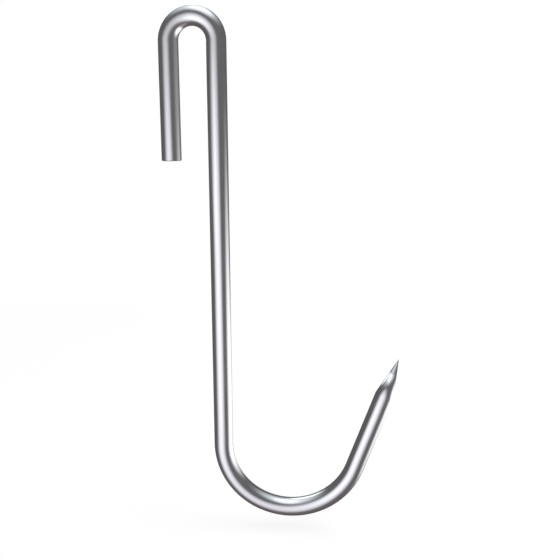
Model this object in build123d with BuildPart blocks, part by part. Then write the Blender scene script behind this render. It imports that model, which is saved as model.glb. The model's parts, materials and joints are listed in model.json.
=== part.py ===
from build123d import *
import os

# A hanging J-hook for a flat rail, bent cold from one length of round stainless bar.
# Millimetres and degrees. +Z is up as the hook hangs and the whole hook lies in the XZ plane.
# The origin is the seat on the rail: the highest point of the inside of the top bend.

# ---- Driving dimensions ----
rod_diameter = 10.0       # round bar, a stock size
rail_thickness = 12.7     # flat rail that the top bend drops over, 1/2 in
rail_play = 0.95          # room that the rail has between the short leg and the shank
leg_length = 58.0         # straight part of the short leg, behind the rail
shank_length = 209.9      # straight part of the shank, between the two bends
throat_radius = 31.65     # inside radius of the J
arm_lean = 20.1           # angle of the arm from vertical, away from the shank
arm_length = 44.0         # straight part of the arm, up to the shoulder of its point
point_length = 21.7       # cone ground on the arm, from its shoulder to its sharp apex
shoulder_radius = 8.0     # blended corner where the cone meets the bar
nose_radius = 0.1         # slight rounding of the apex
end_break = 0.3           # burr taken off the sawn end of the short leg

# ---- Derived ----
rod_radius = rod_diameter / 2
slot_half_width = (rail_thickness + rail_play) / 2
top_bend_radius = slot_half_width + rod_radius
throat_bend_radius = throat_radius + rod_radius
leg_end_height = -slot_half_width - leg_length

with BuildPart() as hook:
    # Centreline from the sawn end of the short leg to the shoulder of the point
    with BuildLine(Plane.XZ):
        leg = Line((-top_bend_radius, leg_end_height), (-top_bend_radius, -slot_half_width))
        top_bend = JernArc(leg @ 1, leg % 1, top_bend_radius, -180)
        shank = Line(top_bend @ 1, (top_bend @ 1) + shank_length * (top_bend % 1))
        throat = JernArc(shank @ 1, shank % 1, throat_bend_radius, 180 - arm_lean)
        arm = Line(throat @ 1, (throat @ 1) + arm_length * (throat % 1))

    # The bar: one round section carried along the whole centreline
    with BuildSketch(Plane(origin=leg @ 0, z_dir=leg % 0)):
        Circle(rod_radius)
    sweep()
    sawn_edge = edges().filter_by(GeomType.CIRCLE).sort_by_distance(leg @ 0)[0]
    chamfer(sawn_edge, length=end_break)

    # The point: half of its section, turned about the axis of the arm
    with BuildSketch(Plane(origin=arm @ 1, x_dir=arm % 1, z_dir=-Axis.Y.direction)):
        with BuildLine():
            Polyline((0, rod_radius), (point_length, 0), (0, -rod_radius), close=True)
        make_face()
        fillet(vertices().sort_by(Axis.X)[-1], radius=nose_radius)
        split(bisect_by=Plane.XZ)
    revolve(axis=Axis(arm @ 1, arm % 1))
    shoulder_edge = edges().filter_by(GeomType.CIRCLE).sort_by_distance(arm @ 1)[0]
    fillet(shoulder_edge, radius=shoulder_radius)

hook.part.label = "hook"

os.makedirs("parts", exist_ok=True)
export_step(hook.part, "parts/hook.step")
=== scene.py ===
# %% [markdown]
# # A J-hook bent from polished stainless bar
# The real hook is one length of 10 mm round bar. A short leg and a tight hairpin bend drop over a
# flat rail, a long shank hangs down from it, an open J carries the load, and the end of the arm is
# ground to a conical point. It has no second piece, so the whole lesson is about one form, one
# finish and the light that makes a mirror-like bar readable.
#
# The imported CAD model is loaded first. The bar's main sizes are read from it, so the dressed hook
# follows the CAD model if a straight or a bend changes there.

import json
import math

import bmesh
import bpy
from mathutils import Matrix, Quaternion, Vector


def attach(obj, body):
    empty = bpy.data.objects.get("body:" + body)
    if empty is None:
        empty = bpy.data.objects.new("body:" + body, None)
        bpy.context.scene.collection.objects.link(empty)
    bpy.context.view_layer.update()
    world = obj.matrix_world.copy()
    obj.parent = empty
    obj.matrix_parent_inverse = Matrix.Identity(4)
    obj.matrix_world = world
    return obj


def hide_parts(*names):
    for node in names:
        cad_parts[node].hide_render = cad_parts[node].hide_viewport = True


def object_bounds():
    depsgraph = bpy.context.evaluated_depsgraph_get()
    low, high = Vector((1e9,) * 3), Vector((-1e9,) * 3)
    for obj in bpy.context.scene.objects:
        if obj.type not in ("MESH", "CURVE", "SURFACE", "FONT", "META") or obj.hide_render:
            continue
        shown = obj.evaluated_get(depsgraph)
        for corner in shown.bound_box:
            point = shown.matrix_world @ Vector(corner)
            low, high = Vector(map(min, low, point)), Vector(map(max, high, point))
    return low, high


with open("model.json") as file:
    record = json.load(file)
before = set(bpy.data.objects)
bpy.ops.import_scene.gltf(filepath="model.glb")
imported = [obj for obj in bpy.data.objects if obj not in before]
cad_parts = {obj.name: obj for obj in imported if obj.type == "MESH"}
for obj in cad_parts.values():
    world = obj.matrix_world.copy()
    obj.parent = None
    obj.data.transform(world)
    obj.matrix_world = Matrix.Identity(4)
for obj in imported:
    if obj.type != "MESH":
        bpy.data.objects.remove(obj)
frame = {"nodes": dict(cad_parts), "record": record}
cad_low, cad_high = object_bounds()
MM = 0.001
print("CAD box in mm:", [round(v / MM, 2) for v in (*cad_low, *cad_high)])

# %% [markdown]
# ## Reading the bar's dimensions
# A bent bar is fully described by its diameter, the length of each straight and the radius and
# angle of each bend. The mounts give most of them: the seat on the rail is the origin, the load
# saddle lies at the foot of the J, and the arm is a pin with a radius, a length and an axis.
# The rest is measured on the CAD mesh. Only the small breaks and the blend at the bar's two ends
# are typed in again, further on.

# %% Work out the straights and the bends
mounts = {mount["name"]: mount for mount in frame["record"]["mounts"]}
arm_axis = Vector(mounts["arm"]["axis"])
load_seat = Vector(mounts["load_saddle"]["pos_m"])
corners = [vertex.co.copy() for vertex in frame["nodes"]["hook"].data.vertices]

bar_radius = mounts["arm"]["dims"]["r_mm"] * MM
top_radius = -cad_low.x - bar_radius
slot_half = top_radius - bar_radius
throat_radius = load_seat.x - top_radius
throat_centre = load_seat + Vector((0, 0, throat_radius - bar_radius))
arm_lean = math.atan2(arm_axis.x, arm_axis.z)

leg_foot = min(co.z for co in corners if co.x < 0)
leg_length = -slot_half - leg_foot
shank_length = -slot_half - throat_centre.z
throat_end = throat_centre + throat_radius * Vector((arm_axis.z, 0, -arm_axis.x))
arm_pin = (Vector(mounts["arm"]["pos_m"]) - throat_end).dot(arm_axis) * 2
arm_nose = max((co - throat_end).dot(arm_axis) for co in corners if co.x > load_seat.x)
print("straights in mm:", [round(v / MM, 2) for v in (leg_length, shank_length, arm_pin)])
print("bend radii in mm:", [round(v / MM, 2) for v in (top_radius, throat_radius)])
print("arm leans", round(math.degrees(arm_lean), 1), "degrees, nose at", round(arm_nose / MM, 2), "mm")

# %% [markdown]
# ## The camera
# It comes early, so that each later step can be looked at. The view is almost square on to the
# hook and looks down a little. A lens of about 50 mm, a little over three hook widths away, gives
# the gentle narrowing that a long hanging thing shows from close by.

# %% Choose the view
VIEW_AZIMUTH = math.radians(2.94)
VIEW_ELEVATION = math.radians(11.93)
VIEW_ROLL = math.radians(-0.15)
VIEW_DISTANCE = 390.6 * MM
AIM_OFFSET = Vector((-1.63, 0, -1.63)) * MM
LENS = 48.54
SENSOR_WIDTH = 36
NEAREST_SEEN = 10 * MM


def direction_to(azimuth, elevation):
    """Gives the unit vector at an azimuth, counted from the front to the right, and an elevation."""
    return Vector((
        math.sin(azimuth) * math.cos(elevation),
        -math.cos(azimuth) * math.cos(elevation),
        math.sin(elevation),
    ))


to_camera = direction_to(VIEW_AZIMUTH, VIEW_ELEVATION)
print("the camera lies towards", [round(v, 3) for v in to_camera])


# %% Place the camera
def add_object(name, data):
    """Makes an object of a mesh, a lamp or a camera and puts it in the scene."""
    made = bpy.data.objects.new(name, data)
    bpy.context.scene.collection.objects.link(made)
    return made


def look_along(camera_or_lamp, direction, roll=0.0):
    """Turns a camera or a lamp to look along a direction, level but for its roll."""
    level = direction.to_track_quat("-Z", "Y")
    camera_or_lamp.rotation_mode = "QUATERNION"
    camera_or_lamp.rotation_quaternion = level @ Quaternion((0, 0, 1), roll)


camera = add_object("Camera", bpy.data.cameras.new("Camera"))
bpy.context.scene.camera = camera
camera.data.sensor_width = SENSOR_WIDTH
camera.data.lens = LENS
camera.data.clip_start = NEAREST_SEEN
camera.location = (cad_low + cad_high) / 2 + AIM_OFFSET + to_camera * VIEW_DISTANCE
look_along(camera, -to_camera, VIEW_ROLL)
bpy.context.scene.view_settings.view_transform = "Standard"
print("camera at", [round(v, 3) for v in camera.location])

# %% [markdown]
# ## The straight bar
# The workshop starts with a straight bar, saws it, grinds the point and then bends it cold. The
# mesh is made in the same order. A circle is the sawn end, and its rim is extruded up the bar one
# ring at a time: few rings on the straights, many where a bend will come, because a bend is only
# as smooth as its rings are close. A curve with a bevel could draw the same tube, but it has no
# point, no sawn end and no memory of where a spot lay on the straight bar, which the finish needs.
#
# The solid has a blended shoulder and a rounded nose. The blend takes 1 mm off the straight arm and
# the nose takes 0.35 mm off the apex. This point is drawn sharp at both ends, so it gets them back.

# %% Work out the lengths along the bar
SHOULDER_BLEND = 1.0 * MM
NOSE_BREAK = 0.35 * MM

top_length = math.pi * top_radius
throat_angle = math.pi - arm_lean
throat_length = throat_angle * throat_radius
arm_length = arm_pin + SHOULDER_BLEND

top_start = leg_length
throat_start = top_start + top_length + shank_length
arm_start = throat_start + throat_length
point_start = arm_start + arm_length
bar_end = arm_start + arm_nose + NOSE_BREAK
print("the straight bar is", round(bar_end / MM, 1), "mm long")

# %% Saw the end and extrude the bar
END_BREAK = 0.3 * MM
RIM_STEPS = 96
LEG_STEPS = 6
TOP_STEPS = 72
SHANK_STEPS = 12
THROAT_STEPS = 96
ARM_STEPS = 4


def stretch(bm, rim, length, steps, widening=1.0):
    """Extrudes the open rim up the bar in equal steps, widens its last ring and returns that."""
    for _ in range(steps):
        made = bmesh.ops.extrude_edge_only(bm, edges=rim)["geom"]
        rim = [item for item in made if isinstance(item, bmesh.types.BMEdge)]
        ring = [item for item in made if isinstance(item, bmesh.types.BMVert)]
        bmesh.ops.translate(bm, vec=(0, 0, length / steps), verts=ring)
    bmesh.ops.scale(bm, vec=(widening, widening, 1), verts=ring)
    return rim


sawn_radius = bar_radius - END_BREAK
bar = bmesh.new()
bmesh.ops.create_circle(bar, cap_ends=True, segments=RIM_STEPS, radius=sawn_radius)
rim = stretch(bar, bar.edges[:], END_BREAK, 1, widening=bar_radius / sawn_radius)
rim = stretch(bar, rim, leg_length - END_BREAK, LEG_STEPS)
rim = stretch(bar, rim, top_length, TOP_STEPS)
rim = stretch(bar, rim, shank_length, SHANK_STEPS)
rim = stretch(bar, rim, throat_length, THROAT_STEPS)
rim = stretch(bar, rim, arm_length, ARM_STEPS)
print("the bar up to its shoulder has", len(bar.verts), "vertices")

# %% [markdown]
# ## The point
# The point is a plain fan of long faces that meet in the apex, shaded smooth. Smooth shading turns
# the surface little by little, from square to the bar at the shoulder to straight ahead at the apex,
# and so the reflections run out along the point as they do on one that a belt has rounded. A cone
# of many short rings would show one grey from end to end.
#
# A point that is ground by hand is never quite true. This one ends a little to the inside of the J.

# %% Grind the point
APEX_LEAN = 0.4 * MM

made = bmesh.ops.extrude_edge_only(bar, edges=rim)["geom"]
tip_ring = [item for item in made if isinstance(item, bmesh.types.BMVert)]
apex = Vector((-APEX_LEAN, 0, bar_end))
bmesh.ops.pointmerge(bar, verts=tip_ring, merge_co=apex)
print("with its point it has", len(bar.verts), "vertices")

# %% [markdown]
# ## Remembering the straight bar, then bending it
# Drawing and polishing marks follow the bar round its bends. So each vertex first stores where it
# lies on the straight bar, and the finish reads that in place of its final position.
#
# A bend then wraps the bar round an axis along Y. What lies inside the bend turns in proportion
# to its distance, and what lies beyond it turns by the whole angle. The far bend is made first,
# so that each one works on bar that is still straight.

# %% Bend the J and the hairpin
straight_bar = bar.verts.layers.float_vector.new("straight_bar")
for vert in bar.verts:
    vert[straight_bar] = vert.co.copy()


def bend(bm, start, length, centre, angle):
    """Wraps everything above height start round the Y axis through centre, by angle over length."""
    for vert in bm.verts:
        travel = min(max(vert[straight_bar].z - start, 0), length)
        turn = Matrix.Rotation(angle * travel / length, 3, "Y")
        vert.co = centre + turn @ (vert.co - Vector((0, 0, travel)) - centre)


bend(bar, throat_start, throat_length, Vector((-throat_radius, 0, throat_start)), -throat_angle)
bend(bar, top_start, top_length, Vector((top_radius, 0, top_start)), math.pi)
bmesh.ops.translate(bar, vec=(-top_radius, 0, leg_foot), verts=bar.verts)
bmesh.ops.recalc_face_normals(bar, faces=bar.faces)
print("the J turns", round(math.degrees(throat_angle), 1), "degrees and the hairpin 180")

# %% [markdown]
# ## The finished piece
# The bar and the point are shaded smooth. The sawn face is the only one with more than four
# corners, and it stays flat. An edge that turns by more than 20 degrees stays crisp, which keeps
# the rim of the saw cut. The shoulder of the point turns by 13 degrees, so it is shaded round.
#
# A real bar is mirrored in itself, but this one isn't. Its mirror images would draw thin double
# lines down the leg and the shank and break up their calm bands. Two faint cards of light in the
# slot stand in for them later on.

# %% Turn the bar into the piece
SHARP_EDGE = math.radians(20)

for face in bar.faces:
    face.smooth = len(face.verts) <= 4
for edge in bar.edges:
    edge.smooth = edge.calc_face_angle(0) < SHARP_EDGE

mesh = bpy.data.meshes.new("hook_bar")
bar.to_mesh(mesh)
bar.free()
hook_bar = add_object("hook_bar", mesh)
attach(hook_bar, "root")
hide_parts("hook")
hook_bar.visible_glossy = False
print("the piece has", len(mesh.polygons), "faces")

# %% [markdown]
# ## Helpers for materials
# Colours are written as the hex values that a paint chart or a picture editor shows. Shaders work
# in linear light, so one function turns them. A second one empties a node tree. A third adds a
# node, sets its inputs and links whatever feeds it, which keeps every material a short list of
# readable lines.

# %% Define the helpers
def linear(hex_colour):
    """Turns an sRGB hex colour into the linear RGBA that a shader socket takes."""
    channels = [int(hex_colour[i:i + 2], 16) / 255 for i in (0, 2, 4)]
    return (*[c / 12.92 if c <= 0.04045 else ((c + 0.055) / 1.055) ** 2.4 for c in channels], 1.0)


def empty_tree(owner):
    """Gives the node tree of a material, a world or a lamp with nothing in it."""
    owner.use_nodes = True
    owner.node_tree.nodes.clear()
    return owner.node_tree


def add_node(tree, kind, inputs=None, **settings):
    """Adds a node to tree: settings are its own, and inputs are numbers, colours or other sockets."""
    node = tree.nodes.new(kind)
    for name, value in settings.items():
        setattr(node, name, value)
    for key, value in (inputs or {}).items():
        if isinstance(value, bpy.types.NodeSocket):
            tree.links.new(value, node.inputs[key])
        else:
            node.inputs[key].default_value = value
    return node


print("the mid grey 808080 is", round(linear("808080")[0], 3), "in linear light")

# %% [markdown]
# ## Polished stainless steel
# The bar is grade 304 stainless, drawn to size and then belt-polished bright. Steel is a metal, so
# it has no colour of its own beneath the reflection: the base colour is the tint and strength of
# what it mirrors. The belt leaves a roughness of about 0.2, a little uneven along the bar, and the
# saw leaves the end face about twice as rough.
#
# Three tools have left their marks, and all three follow the straight bar. Drawing and belting run
# along it in hair lines, the grinder goes round the point in fine rings, and the saw crosses the
# end face in straight strokes. Real marks are some hundredths of a millimetre apart, too fine to
# show, so each kind is drawn 0.25 to 0.4 mm apart instead and kept very shallow.

# %% Draw the tool marks
HAIR_SPACING = 0.3 * MM
HAIR_LENGTH = 20 * MM
RING_SPACING = 0.25 * MM
SAW_SPACING = 0.4 * MM
UNEVEN_PATCH = 16.7 * MM
UNCHANGING = 1000 * MM
NOISE_OCTAVES = 2.0

steel = bpy.data.materials.new("polished_stainless_steel")
tree = empty_tree(steel)
on_bar = add_node(tree, "ShaderNodeAttribute", attribute_name="straight_bar").outputs["Vector"]


def grain(tree, vector, spacing):
    """Adds a soft noise on a vector, with its grains as many metres apart along X, Y and Z."""
    stretched = add_node(tree, "ShaderNodeVectorMath", {
        0: vector, 1: [1 / step for step in spacing],
    }, operation="MULTIPLY").outputs["Vector"]
    return add_node(tree, "ShaderNodeTexNoise", {
        "Vector": stretched, "Scale": 1.0, "Detail": NOISE_OCTAVES,
    }).outputs["Fac"]


hair = grain(tree, on_bar, (HAIR_SPACING, HAIR_SPACING, HAIR_LENGTH))
rings = grain(tree, on_bar, (UNCHANGING, UNCHANGING, RING_SPACING))
strokes = grain(tree, on_bar, (SAW_SPACING, UNCHANGING, UNCHANGING))
uneven = grain(tree, on_bar, (UNEVEN_PATCH, UNEVEN_PATCH, UNEVEN_PATCH))
print("marks are", [round(v / MM, 2) for v in (HAIR_SPACING, RING_SPACING, SAW_SPACING)], "mm apart")

# %% Put each kind of mark in its place
POINT_RUN_IN = 1 * MM
CUT_FACE = END_BREAK / 3
MARK_DEPTH = 0.0012 * MM
SAW_DEPTH_FACTOR = 6

height_on_bar = add_node(tree, "ShaderNodeSeparateXYZ", {"Vector": on_bar}).outputs["Z"]
on_point = add_node(tree, "ShaderNodeMapRange", {
    "Value": height_on_bar, "From Min": point_start, "From Max": point_start + POINT_RUN_IN,
}).outputs["Result"]
on_saw_cut = add_node(tree, "ShaderNodeMath", {
    0: height_on_bar, 1: CUT_FACE,
}, operation="LESS_THAN").outputs["Value"]
hair_or_rings = add_node(tree, "ShaderNodeMix", {
    "Factor": on_point, "A": hair, "B": rings,
}).outputs["Result"]
deep_strokes = add_node(tree, "ShaderNodeMath", {
    0: strokes, 1: SAW_DEPTH_FACTOR,
}, operation="MULTIPLY").outputs["Value"]
relief = add_node(tree, "ShaderNodeMix", {
    "Factor": on_saw_cut, "A": hair_or_rings, "B": deep_strokes,
}).outputs["Result"]
marked = add_node(tree, "ShaderNodeBump", {"Height": relief, "Distance": MARK_DEPTH})
print("the saw's marks are", SAW_DEPTH_FACTOR, "times as deep as the others")

# %% Make the steel
# A soft noise stays mostly between 0.3 and 0.7, and that range is spread over the belt's roughness.
NOISE_LOW = 0.3
NOISE_HIGH = 0.7
STEEL = linear("DCDCDE")
SMOOTHEST_BELTED = 0.17
ROUGHEST_BELTED = 0.22
SAWN_ROUGHNESS = 0.38

belted = add_node(tree, "ShaderNodeMapRange", {
    "Value": uneven, "From Min": NOISE_LOW, "From Max": NOISE_HIGH,
    "To Min": SMOOTHEST_BELTED, "To Max": ROUGHEST_BELTED,
}).outputs["Result"]
roughness = add_node(tree, "ShaderNodeMix", {
    "Factor": on_saw_cut, "A": belted, "B": SAWN_ROUGHNESS,
}).outputs["Result"]
steel_shader = add_node(tree, "ShaderNodeBsdfPrincipled", {
    "Base Color": STEEL,
    "Metallic": 1.0,
    "Roughness": roughness,
    "Normal": marked.outputs["Normal"],
})
add_node(tree, "ShaderNodeOutputMaterial", {"Surface": steel_shader.outputs["BSDF"]})
mesh.materials.append(steel)
print("steel has", len(tree.nodes), "nodes")

# %% [markdown]
# ## The studio
# A polished bar shows nothing but its surroundings, so the light is built as a studio would
# build it for chrome: a white ceiling, large feathered soft boxes where bright bands should run
# down the bar, and grey flags everywhere else, so that each band has a dark neighbour and the rims
# stay dark against the white.
#
# The world is the ceiling and the flags. The flags are a little lighter at the front right, warmer
# below and cooler above. The ceiling is a round white patch overhead that fades out softly. Only
# mirror-like rays see them: the background is white, and light that isn't mirrored comes evenly
# from all round.

# %% Choose the greys and the ceiling
GREY_IN_FRONT = linear("716F70")
GREY_BEHIND = linear("666364")
TINT_BELOW = linear("FFF3F1")
TINT_ABOVE = linear("F2FFFF")
FRONT_RIGHT = Vector((0.7, -0.7, 0))
CEILING = linear("F3FBFF")
CEILING_BRIGHTNESS = 1.0
CEILING_CENTRE = Vector((0.05, 0.09, 0.99))
CEILING_HALF = math.radians(11)
CEILING_FEATHER = math.radians(50)
PLAIN_LIGHT = linear("E6E6E6")
WHITE = (1, 1, 1, 1)

world = bpy.data.worlds.new("studio")
bpy.context.scene.world = world
tree = empty_tree(world)
direction = add_node(tree, "ShaderNodeTexCoord").outputs["Generated"]
print("the ceiling is white over", round(math.degrees(CEILING_HALF)), "degrees round its centre")

# %% Hang the flags
towards_front = add_node(tree, "ShaderNodeVectorMath", {
    0: direction, 1: FRONT_RIGHT,
}, operation="DOT_PRODUCT").outputs["Value"]
frontness = add_node(tree, "ShaderNodeMapRange", {
    "Value": towards_front, "From Min": -1.0, "From Max": 1.0,
}).outputs["Result"]
greys = add_node(tree, "ShaderNodeMix", {
    "Factor": frontness, "A": GREY_BEHIND, "B": GREY_IN_FRONT,
}, data_type="RGBA").outputs["Result"]
upwards = add_node(tree, "ShaderNodeSeparateXYZ", {"Vector": direction}).outputs["Z"]
upness = add_node(tree, "ShaderNodeMapRange", {
    "Value": upwards, "From Min": -1.0, "From Max": 1.0,
}).outputs["Result"]
tint = add_node(tree, "ShaderNodeMix", {
    "Factor": upness, "A": TINT_BELOW, "B": TINT_ABOVE,
}, data_type="RGBA").outputs["Result"]
flags = add_node(tree, "ShaderNodeMix", {
    "Factor": 1.0, "A": greys, "B": tint,
}, data_type="RGBA", blend_type="MULTIPLY").outputs["Result"]
print("the flags take", len(tree.nodes), "nodes")

# %% Put up the ceiling
towards_ceiling = add_node(tree, "ShaderNodeVectorMath", {
    0: direction, 1: CEILING_CENTRE,
}, operation="DOT_PRODUCT").outputs["Value"]
from_centre = add_node(tree, "ShaderNodeMath", {
    0: towards_ceiling,
}, operation="ARCCOSINE").outputs["Value"]
ceiling = add_node(tree, "ShaderNodeMapRange", {
    "Value": from_centre,
    "From Min": CEILING_HALF, "From Max": CEILING_HALF + CEILING_FEATHER,
    "To Min": CEILING_BRIGHTNESS, "To Max": 0.0,
}, interpolation_type="SMOOTHSTEP").outputs["Result"]
reflected = add_node(tree, "ShaderNodeMix", {
    "Factor": ceiling, "A": flags, "B": CEILING,
}, data_type="RGBA", blend_type="ADD").outputs["Result"]
print("with the ceiling there are", len(tree.nodes), "nodes")

# %% Show the white background to the camera
rays = add_node(tree, "ShaderNodeLightPath").outputs
mirrored = add_node(tree, "ShaderNodeMath", {
    0: rays["Is Glossy Ray"], 1: rays["Is Transmission Ray"],
}, operation="MAXIMUM").outputs["Value"]
around_hook = add_node(tree, "ShaderNodeMix", {
    "Factor": mirrored, "A": PLAIN_LIGHT, "B": reflected,
}, data_type="RGBA").outputs["Result"]
seen = add_node(tree, "ShaderNodeMix", {
    "Factor": rays["Is Camera Ray"], "A": around_hook, "B": WHITE,
}, data_type="RGBA").outputs["Result"]
background = add_node(tree, "ShaderNodeBackground", {"Color": seen}).outputs["Background"]
add_node(tree, "ShaderNodeOutputWorld", {"Surface": background})
print("the world has", len(tree.nodes), "nodes")

# %% [markdown]
# ## The soft boxes
# Each soft box draws its own band or glint on the bar. They hang less than a metre away, because
# then their reflections slide along the hook from the hairpin to the J, as they do on a real one.
# The key box makes the broad band that faces the viewer. The fill box makes the one down the right
# of the shank and the arm, and the glint inside the hairpin. The top box lights the crown of the
# hairpin and the upper side of the J, the back box the rims behind those two, and the low back box
# the far right rim of the shank and the arm.
#
# Two faint cards hang in the slot. They stand in for the light that the two bars throw on each
# other, which is missing because the hook isn't mirrored in itself. The right one faces the leg and
# the left one faces the shank.
#
# A box is an elliptical lamp that is brightest in its even core and fades out towards its rim. It is
# seen only in reflections, so that it makes no shadow and doesn't light the floor.

# %% Choose the soft boxes
# place is in mm from the seat on the rail, and azimuth and elevation, in degrees, say which way the
# back of the box points. Width and height are in mm, and core is the share that is evenly lit.
SOFT_BOXES = {
    "key_soft_box": dict(
        place=(-140, -370, -270), azimuth=-23, elevation=-13, width=1100, height=1250,
        core=0.0, colour="F8F8FF", brightness=1.4),
    "fill_soft_box": dict(
        place=(530, 150, -400), azimuth=105, elevation=-15, width=1150, height=850,
        core=0.15, colour="FCFCFF", brightness=1.5),
    "top_soft_box": dict(
        place=(120, -20, 510), azimuth=0, elevation=80, width=600, height=1150,
        core=0.55, colour="FBF8FF", brightness=0.5),
    "back_soft_box": dict(
        place=(-210, 510, 260), azimuth=195, elevation=20, width=650, height=550,
        core=0.6, colour="F4FFFF", brightness=1.6),
    "low_back_soft_box": dict(
        place=(470, 680, -490), azimuth=145, elevation=-20, width=550, height=450,
        core=0.55, colour="FAFAFF", brightness=0.9),
    "slot_card_right": dict(
        place=(7, 2, -42), azimuth=95, elevation=0, width=40, height=170,
        core=0.2, colour="FFFBFF", brightness=0.2),
    "slot_card_left": dict(
        place=(0, -13, -55), azimuth=-50, elevation=0, width=25, height=145,
        core=0.4, colour="FAFAFF", brightness=0.27),
}
print(len(SOFT_BOXES), "soft boxes are chosen")

# %% Make a lamp that fades towards its rim
MIDDLE = (0.5, 0.5, 0)
RIM_REACH = 0.5


def hang_lamp(name, width, height, brightness):
    """Hangs an elliptical area lamp, whose face is as bright as a white wall at a brightness of 1."""
    data = bpy.data.lights.new(name, "AREA")
    data.shape = "ELLIPSE"
    data.size = width
    data.size_y = height
    face_area = math.pi * width * height / 4
    data.energy = brightness * math.pi * face_area
    lamp = add_object(name, data)
    lamp.visible_camera = False
    return lamp


def feather(tree, core):
    """Lets a lamp's glow fade from the edge of its even core to nothing at its rim."""
    spot = add_node(tree, "ShaderNodeNewGeometry").outputs["Parametric"]
    centred = add_node(tree, "ShaderNodeVectorMath", {
        0: spot, 1: MIDDLE,
    }, operation="SUBTRACT").outputs["Vector"]
    reach = add_node(tree, "ShaderNodeVectorMath", {0: centred}, operation="LENGTH").outputs["Value"]
    fade = add_node(tree, "ShaderNodeMapRange", {
        "Value": reach, "From Min": core * RIM_REACH, "From Max": RIM_REACH,
        "To Min": 1.0, "To Max": 0.0,
    }, interpolation_type="SMOOTHSTEP").outputs["Result"]
    glow = add_node(tree, "ShaderNodeEmission", {"Strength": fade}).outputs["Emission"]
    add_node(tree, "ShaderNodeOutputLight", {"Surface": glow})


print("a lamp ends", RIM_REACH, "of its width from its middle")


# %% Hang the soft boxes
def soft_box(name, place, azimuth, elevation, width, height, core, colour, brightness):
    """Hangs a feathered soft box that is seen in reflections only."""
    box = hang_lamp(name, width * MM, height * MM, brightness)
    box.data.color = linear(colour)[:3]
    feather(empty_tree(box.data), core)
    box.location = Vector(place) * MM
    look_along(box, -direction_to(math.radians(azimuth), math.radians(elevation)))
    box.visible_diffuse = False


for name, settings in SOFT_BOXES.items():
    soft_box(name, **settings)
print(len(SOFT_BOXES), "soft boxes hang round the hook")

# %% [markdown]
# ## The floor
# The hook hangs a little above a sweep of white paper. The paper is lit from behind as well, so it
# stays pure white round the hook and takes only a quarter of what falls on it from above. That
# keeps the shadow faint. Some of the soft boxes reach below the floor, so it isn't seen in
# reflections and throws no shadow: it would cut off their light.

# %% Lay the floor
FLOOR_GAP = 7 * MM
FLOOR_HALF_WIDTH = 0.5

sheet = bmesh.new()
bmesh.ops.create_grid(sheet, x_segments=1, y_segments=1, size=FLOOR_HALF_WIDTH)
bmesh.ops.translate(sheet, vec=(0, 0, cad_low.z - FLOOR_GAP), verts=sheet.verts)
floor_mesh = bpy.data.meshes.new("floor")
sheet.to_mesh(floor_mesh)
sheet.free()
floor = add_object("floor", floor_mesh)
floor.visible_glossy = False
floor.visible_shadow = False
print("the floor lies", round(FLOOR_GAP / MM, 1), "mm below the J")

# %% Make the paper
PAPER_WHITE = linear("E8E8E8")
LIT_FROM_ABOVE = 0.25
LIT_FROM_BEHIND = 1.06

paper = bpy.data.materials.new("white_paper_sweep")
tree = empty_tree(paper)
paper_face = add_node(tree, "ShaderNodeBsdfDiffuse", {"Color": PAPER_WHITE}).outputs["BSDF"]
paper_back = add_node(tree, "ShaderNodeEmission", {"Strength": LIT_FROM_BEHIND}).outputs["Emission"]
paper_shader = add_node(tree, "ShaderNodeMixShader", {
    0: LIT_FROM_ABOVE, 1: paper_back, 2: paper_face,
}).outputs["Shader"]
add_node(tree, "ShaderNodeOutputMaterial", {"Surface": paper_shader})
floor_mesh.materials.append(paper)
print("the paper has", len(tree.nodes), "nodes")

# %% [markdown]
# ## The overhead lamp and the shadow
# A long narrow lamp hangs overhead, off to one side and turned in plan. Each bit of the J then
# smears its shadow along the lamp's own direction, which leaves one faint slanting pool below the
# bend. The bar doesn't mirror this lamp, because it would draw one more hard band.

# %% Hang the overhead lamp
LAMP_PLACE = Vector((0.9, -0.2, 1.2))
LAMP_WIDTH = 0.5
LAMP_LENGTH = 1.7
LAMP_TURN = math.radians(40)
LAMP_BRIGHTNESS = 5.2

overhead_lamp = hang_lamp("overhead_lamp", LAMP_WIDTH, LAMP_LENGTH, LAMP_BRIGHTNESS)
overhead_lamp.location = Vector((load_seat.x, 0, cad_low.z)) + LAMP_PLACE
overhead_lamp.rotation_euler = (0, 0, LAMP_TURN)
overhead_lamp.visible_glossy = False
print("the lamp hangs", round(LAMP_PLACE.z, 1), "m above the foot of the J")
